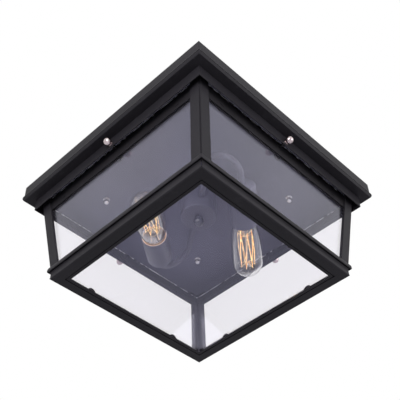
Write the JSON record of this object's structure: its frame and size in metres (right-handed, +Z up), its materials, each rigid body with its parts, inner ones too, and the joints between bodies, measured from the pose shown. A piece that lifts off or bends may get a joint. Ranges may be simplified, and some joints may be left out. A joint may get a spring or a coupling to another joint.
{
  "type": "porch ceiling lantern",
  "caption": "Square flush-mount ceiling lantern: black stepped canopy, tapered glass cage and clear filament lamps in tubular sockets on curved arms.",
  "frame": {"origin": "centre of the mounting plate's top face, which lies on the ceiling", "axes": "+Z up into the ceiling, +X and +Y square to the lantern's sides, the lantern hanging towards -Z"},
  "size_m": [0.3556, 0.3556, 0.173],
  "materials": {
    "canopy_paint": "satin powder coat",
    "cage_paint": "satin powder coat",
    "inner_paint": "satin powder coat",
    "bright_steel": "polished",
    "screw_steel": "polished",
    "zinc_plate": "zinc plated",
    "ground_green": "green passivated",
    "pane_glass": "clear, polished",
    "lamp_glass": "clear, polished",
    "holder_ceramic": "unglazed porcelain",
    "brass": "drawn",
    "tip_glass": "gloss",
    "filament": "glowing wire",
    "wire_sleeve": "braided sleeve"
  },
  "bodies": {
    "lantern": {"mounting_plate": "zinc_plate", "plate_studs": "bright_steel", "ground_screw": "ground_green", "ceiling_pan": "inner_paint", "pan_cap_nuts": "bright_steel", "canopy_band_front": "canopy_paint", "canopy_band_right": "canopy_paint", "canopy_band_back": "canopy_paint", "canopy_band_left": "canopy_paint", "skirt_front": "canopy_paint", "skirt_right": "canopy_paint", "skirt_back": "canopy_paint", "skirt_left": "canopy_paint", "post_front_right": "cage_paint", "post_back_right": "cage_paint", "post_back_left": "cage_paint", "post_front_left": "cage_paint", "top_rail_front": "cage_paint", "top_rail_right": "cage_paint", "top_rail_back": "cage_paint", "top_rail_left": "cage_paint", "bottom_rail_front": "cage_paint", "bottom_rail_right": "cage_paint", "bottom_rail_back": "cage_paint", "bottom_rail_left": "cage_paint", "side_glass_front": "pane_glass", "side_glass_right": "pane_glass", "side_glass_back": "pane_glass", "side_glass_left": "pane_glass", "bottom_glass": "pane_glass", "cage_lugs": "cage_paint", "rail_clips": "cage_paint", "bottom_clips": "cage_paint", "hub_housing": "inner_paint", "hub_rod": "bright_steel", "hub_nut": "bright_steel", "finial": "inner_paint", "arm_right": "inner_paint", "arm_left": "inner_paint", "socket_cup_right": "inner_paint", "socket_cup_left": "inner_paint", "lampholder_right": "holder_ceramic", "lampholder_left": "holder_ceramic", "screw_shells": "brass", "socket_contacts": "brass", "lead_wires": "wire_sleeve"},
    "side_screw_front": {"side_screw_front": "screw_steel"},
    "side_screw_right": {"side_screw_right": "screw_steel"},
    "side_screw_back": {"side_screw_back": "screw_steel"},
    "side_screw_left": {"side_screw_left": "screw_steel"},
    "lamp_tip_right": {"lamp_tip_right": "tip_glass"},
    "lamp_tip_left": {"lamp_tip_left": "tip_glass"},
    "lamp_right": {"lamp_cap_right": "brass", "lamp_glass_right": "lamp_glass", "lamp_stem_right": "lamp_glass", "filament_right": "filament"},
    "lamp_left": {"lamp_cap_left": "brass", "lamp_glass_left": "lamp_glass", "lamp_stem_left": "lamp_glass", "filament_left": "filament"}
  },
  "joints": [
    {"name": "side_screw_front_slide", "type": "slide", "parent": "lantern", "child": "side_screw_front", "axis": [0, -1, 0], "range_m": [0, 0.013]},
    {"name": "side_screw_right_slide", "type": "slide", "parent": "lantern", "child": "side_screw_right", "axis": [1, 0, 0], "range_m": [0, 0.013]},
    {"name": "side_screw_back_slide", "type": "slide", "parent": "lantern", "child": "side_screw_back", "axis": [0, 1, 0], "range_m": [0, 0.013]},
    {"name": "side_screw_left_slide", "type": "slide", "parent": "lantern", "child": "side_screw_left", "axis": [-1, 0, 0], "range_m": [0, 0.013]},
    {"name": "lamp_travel_right", "type": "slide", "parent": "lantern", "child": "lamp_tip_right", "axis": [-0.6149, 0.7662, -0.1867], "range_m": [0, 0.0255]},
    {"name": "lamp_turn_right", "type": "hinge", "parent": "lamp_tip_right", "child": "lamp_right", "pos_m": [0.06458, 0.02024, -0.0804], "axis": [-0.6149, 0.7662, -0.1867], "range_deg": [0, 2520]},
    {"name": "lamp_travel_left", "type": "slide", "parent": "lantern", "child": "lamp_tip_left", "axis": [0.6149, -0.7662, -0.1867], "range_m": [0, 0.0255]},
    {"name": "lamp_turn_left", "type": "hinge", "parent": "lamp_tip_left", "child": "lamp_left", "pos_m": [-0.06458, -0.02024, -0.0804], "axis": [0.6149, -0.7662, -0.1867], "range_deg": [0, 2520]}
  ],
  "couplings": [
    {"joint": "lamp_travel_right", "follows": "lamp_turn_right", "m_per_rad": 0.00057296},
    {"joint": "lamp_travel_left", "follows": "lamp_turn_left", "m_per_rad": 0.00057296}
  ]
}
